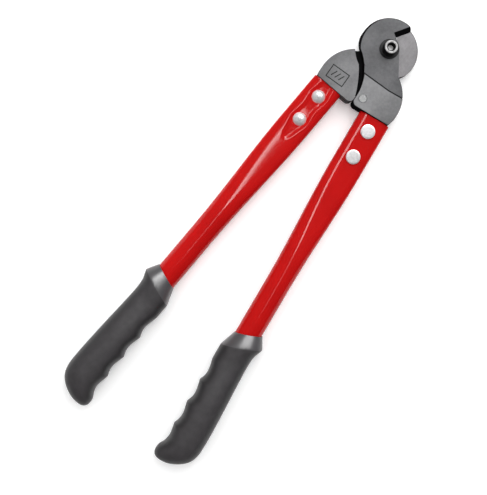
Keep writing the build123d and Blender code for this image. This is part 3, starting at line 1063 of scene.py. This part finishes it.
class Shape(Graph):
    """Builds a Geometry Nodes tree with named inputs."""

    def __init__(self, name, inputs):
        super().__init__(bpy.data.node_groups.new(name, "GeometryNodeTree"))
        face = self.tree.interface
        face.new_socket("Geometry", in_out="INPUT", socket_type="NodeSocketGeometry")
        for key in inputs:
            face.new_socket(key, in_out="INPUT", socket_type="NodeSocketFloat")
        face.new_socket("Geometry", in_out="OUTPUT", socket_type="NodeSocketGeometry")

    def given(self, name):
        return self.node("NodeGroupInput", output=name)

    def move(self, mesh, way, *place):
        """Moves points: way is Position for a new place and Offset for a shift."""
        vector = self.node("ShaderNodeCombineXYZ", sockets=dict(enumerate(place)))
        return self.node("GeometryNodeSetPosition", sockets={"Geometry": mesh, way: vector})

    def finish(self, geometries, material):
        """Joins the geometries, makes instances real and sets the material."""
        join = self.tree.nodes.new("GeometryNodeJoinGeometry")
        for geometry in geometries:
            self.tree.links.new(geometry.socket, join.inputs[0])
        joined = Number(self, join.outputs[0])
        real = self.node("GeometryNodeRealizeInstances", sockets={0: joined})
        sockets = {"Geometry": real, "Material": material}
        done = self.node("GeometryNodeSetMaterial", sockets=sockets)
        self.node("NodeGroupOutput", sockets={0: done})
        return self.tree


def rivet_tree(names, material):
    """Tree that sets a flat head above and a dome below each point."""
    shape = Shape("rivets", names)
    side = shape.given("Side")
    bedding = 0.4 * MM
    corner = 0.3
    tiny = 1e-9

    def ball():
        """Unit ball, the place of each of its points, and its distance from the middle line."""
        sockets = {"Segments": 64, "Rings": 32, "Radius": 1}
        mesh = shape.node("GeometryNodeMeshUVSphere", sockets=sockets)
        place = shape.node("GeometryNodeInputPosition")
        x, y, z = (shape.axis(place, name) for name in "XYZ")
        return mesh, x, y, z, (x * x + y * y).most(tiny).math("SQRT")

    def heads(head, seat):
        """One head on each point, moved to its seat."""
        seats = shape.move(shape.given("Geometry"), "Offset", 0.0, 0.0, seat * side)
        sockets = {"Points": seats, "Instance": head}
        return shape.node("GeometryNodeInstanceOnPoints", sockets=sockets)

    # Flat head: a rounded disc, bedded a little in the tube
    mesh, x, y, z, around = ball()
    spread = around**corner / around * shape.given("Flat Radius")
    half = (shape.given("Flat Height") + bedding) * 0.5
    height = z.math("SIGN") * abs(z) ** corner * half * side
    flat = shape.move(mesh, "Position", x * spread, y * spread, height)
    flats = heads(flat, shape.given("Flat Seat") + (half - bedding))

    # Domed head: a cap of a ball over a flat underside
    mesh, x, y, z, around = ball()
    tall, radius = shape.given("Dome Height"), shape.given("Dome Radius")
    ball_radius = (tall * tall + radius * radius) / (tall * 2.0)
    rim_angle = (radius / ball_radius).math("ARCSINE")
    cap_angle = (z.math("ARCCOSINE") / (math.pi / 2)).math("MINIMUM", 1.0) * rim_angle
    above = z.math("GREATER_THAN", -1e-4)
    cap_reach = cap_angle.math("SINE") * ball_radius
    spread = (cap_reach * above + around * radius * (1.0 - above)) / around
    rise = (cap_angle.math("COSINE") - rim_angle.math("COSINE")) * ball_radius
    height = ((1.0 - above) * bedding - rise) * side
    dome = shape.move(mesh, "Position", x * spread, y * spread, height)
    domes = heads(dome, shape.given("Dome Seat") * -1.0)
    return shape.finish((flats, domes), material)


def apply_tree(mesh, tree, values):
    """Runs a tree on a mesh with its named inputs and returns the result as a plain mesh."""
    holder = add_object("holder", mesh)
    modifier = holder.modifiers.new("tree", "NODES")
    modifier.node_group = tree
    for item in tree.interface.items_tree:
        if item.name in values:
            modifier[item.identifier] = values[item.name]
    evaluated = holder.evaluated_get(bpy.context.evaluated_depsgraph_get())
    made = bpy.data.meshes.new_from_object(evaluated)
    holder.modifiers.remove(modifier)
    bpy.data.objects.remove(holder)
    bpy.data.meshes.remove(mesh)
    shape = bmesh.new()
    shape.from_mesh(made)
    return face_outwards(shape, made)


# ---------------------------------------------------------------- stage


class CUTTER_OT_stage(PieceOperator):
    """Set the floor, the lights and the camera"""

    bl_idname = "cutter.stage"
    bl_label = "Stage"

    # Each lamp's name, place, size in metres, power in watts, and the rays that don't see it
    lamps = (
        ("overhead", (-0.25, 0.10, 1.30), (1.3, 1.3), 7.5, {"glossy": False}),
        ("strip", (-0.10, 0.15, 1.05), (0.085, 0.5), 1.55, {}),
        ("strip_end", (-0.10, 0.02, 1.06), (0.085, 0.75), 0.85, {}),
        ("kicker", (-0.08, 0.46, 0.72), (0.7, 0.4), 19.0, {"diffuse": False}),
    )

    def make(self, scene):
        stage = scene.cutter_stage
        self.floor(stage)
        self.sky(scene, stage)
        for name, place, size, power, hidden in self.lamps:
            self.lamp(name, place, size, power, **hidden)
        scene.camera = add_object("camera", bpy.data.cameras.new("camera"))
        scene.camera.data.lens = stage.lens
        scene.camera.location = stage.eye
        scene.camera.rotation_euler = Euler(stage.aim)
        scene.view_settings.view_transform = "Standard"

    def floor(self, stage):
        half = stage.floor_size / 2
        gap = 0.2 * MM
        signs = ((-1, -1), (1, -1), (1, 1), (-1, 1))
        corners = [(half * x, half * y, -gap) for x, y in signs]
        mesh = bpy.data.meshes.new("floor")
        mesh.from_pydata(corners, [], [(0, 1, 2, 3)])
        finish = Finish("floor")
        tint = finish.mix(finish.noise(300, detail=1) * 0.04, stage.floor_tint, (0.8, 0.8, 0.8))
        glow = {"emission_color": (1, 1, 1, 1), "emission_strength": stage.floor_glow}
        mesh.materials.append(finish.surface(base_color=tint, roughness=0.9, **glow))
        floor = add_object("floor", mesh)

    def sky(self, scene, stage):
        """Even light, brighter on one side, and dimmer where reflections see it."""
        world = bpy.data.worlds.new("sky")
        world.use_nodes = True
        graph = Graph(world.node_tree)
        way = graph.node("ShaderNodeTexCoord", output="Generated")
        lit_side = Vector(stage.lit_side).normalized()
        slope = graph.axis(way, "X") * lit_side.x + graph.axis(way, "Y") * lit_side.y
        glossy = graph.node("ShaderNodeLightPath", output="Is Glossy Ray")
        strength = stage.sky * (1 + slope * stage.sky_slope)
        strength = strength * (1 - glossy * (1 - stage.sky_reflected))
        sockets = {"Color": (1, 1, 1, 1), "Strength": strength}
        backdrop = graph.node("ShaderNodeBackground", sockets=sockets)
        graph.node("ShaderNodeOutputWorld", sockets={"Surface": backdrop})
        scene.world = world

    def lamp(self, name, place, size, power, glossy=True, diffuse=True):
        """Area light aimed at the middle of the tool."""
        light = bpy.data.lights.new(name, "AREA")
        light.shape = "RECTANGLE"
        light.size, light.size_y = size
        light.energy = power
        holder = add_object(name, light)
        low, high = CAD_BOX
        aim = (low + high) / 2 - Vector(place)
        holder.location = place
        holder.rotation_euler = aim.to_track_quat("-Z", "Y").to_euler()
        holder.visible_glossy = glossy
        holder.visible_diffuse = diffuse


class CUTTER_PT_panel(bpy.types.Panel):
    """Lists the cable cutter's pieces and settings"""

    bl_label = "Cable Cutter"
    bl_idname = "CUTTER_PT_panel"
    bl_space_type = "VIEW_3D"
    bl_region_type = "UI"
    bl_category = "Cutter"

    def draw(self, context):
        for operator in OPERATORS:
            self.layout.operator(operator.bl_idname)
        for name in SETTINGS:
            box = self.layout.box()
            group = getattr(context.scene, name)
            for key in group.bl_rna.properties.keys():
                if key not in ("rna_type", "name"):
                    box.prop(group, key)


SETTINGS = {
    "cutter_handle": CutterHandleSizes,
    "cutter_grip": CutterGripSizes,
    "cutter_screw": CutterScrewSizes,
    "cutter_finishes": CutterFinishes,
    "cutter_stage": CutterStage,
}
OPERATORS = (
    CUTTER_OT_jaws,
    CUTTER_OT_pivot_hardware,
    CUTTER_OT_pivot_screw,
    CUTTER_OT_tubes,
    CUTTER_OT_rivets,
    CUTTER_OT_grips,
    CUTTER_OT_stage,
)


def register():
    for name, group in SETTINGS.items():
        bpy.utils.register_class(group)
        setattr(bpy.types.Scene, name, bpy.props.PointerProperty(type=group))
    for operator in OPERATORS:
        bpy.utils.register_class(operator)
    bpy.utils.register_class(CUTTER_PT_panel)


def unregister():
    bpy.utils.unregister_class(CUTTER_PT_panel)
    for operator in reversed(OPERATORS):
        bpy.utils.unregister_class(operator)
    for name, group in reversed(SETTINGS.items()):
        delattr(bpy.types.Scene, name)
        bpy.utils.unregister_class(group)


def main():
    register()
    bpy.ops.cutter.jaws()
    bpy.ops.cutter.pivot_hardware()
    bpy.ops.cutter.pivot_screw()
    bpy.ops.cutter.tubes()
    bpy.ops.cutter.rivets()
    bpy.ops.cutter.grips()
    bpy.ops.cutter.stage()


if __name__ == "__main__":
    main()
